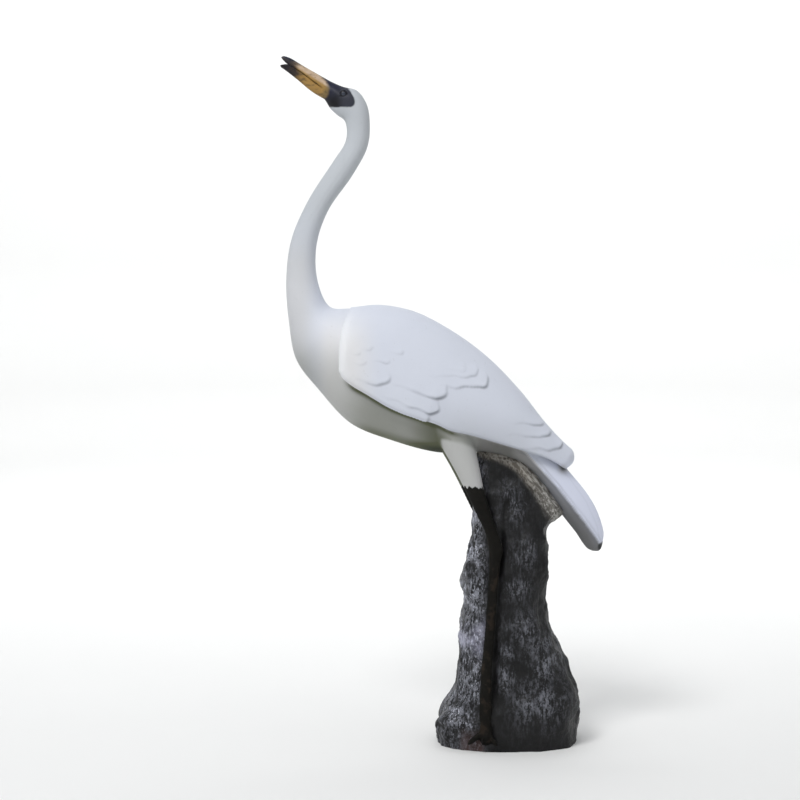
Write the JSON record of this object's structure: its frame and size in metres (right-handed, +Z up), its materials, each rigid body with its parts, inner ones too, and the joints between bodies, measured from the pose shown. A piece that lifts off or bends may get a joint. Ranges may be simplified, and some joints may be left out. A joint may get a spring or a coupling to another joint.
{
  "type": "garden statue",
  "caption": "Painted crane standing with its head raised and wings folded, cast with slim black legs against a dark craggy rock pillar that it stands on.",
  "frame": {"origin": "middle of the rock stand's flat underside, where the statue stands on the ground", "axes": "+Z up towards the head, the bird looks along -X, its left side faces -Y"},
  "size_m": [0.5641, 0.2076, 1.1995],
  "materials": {
    "painted_plumage": "satin",
    "dark_rock": "satin"
  },
  "bodies": {
    "root": {"crane": "painted_plumage", "rock_stand": "dark_rock"}
  },
  "joints": []
}
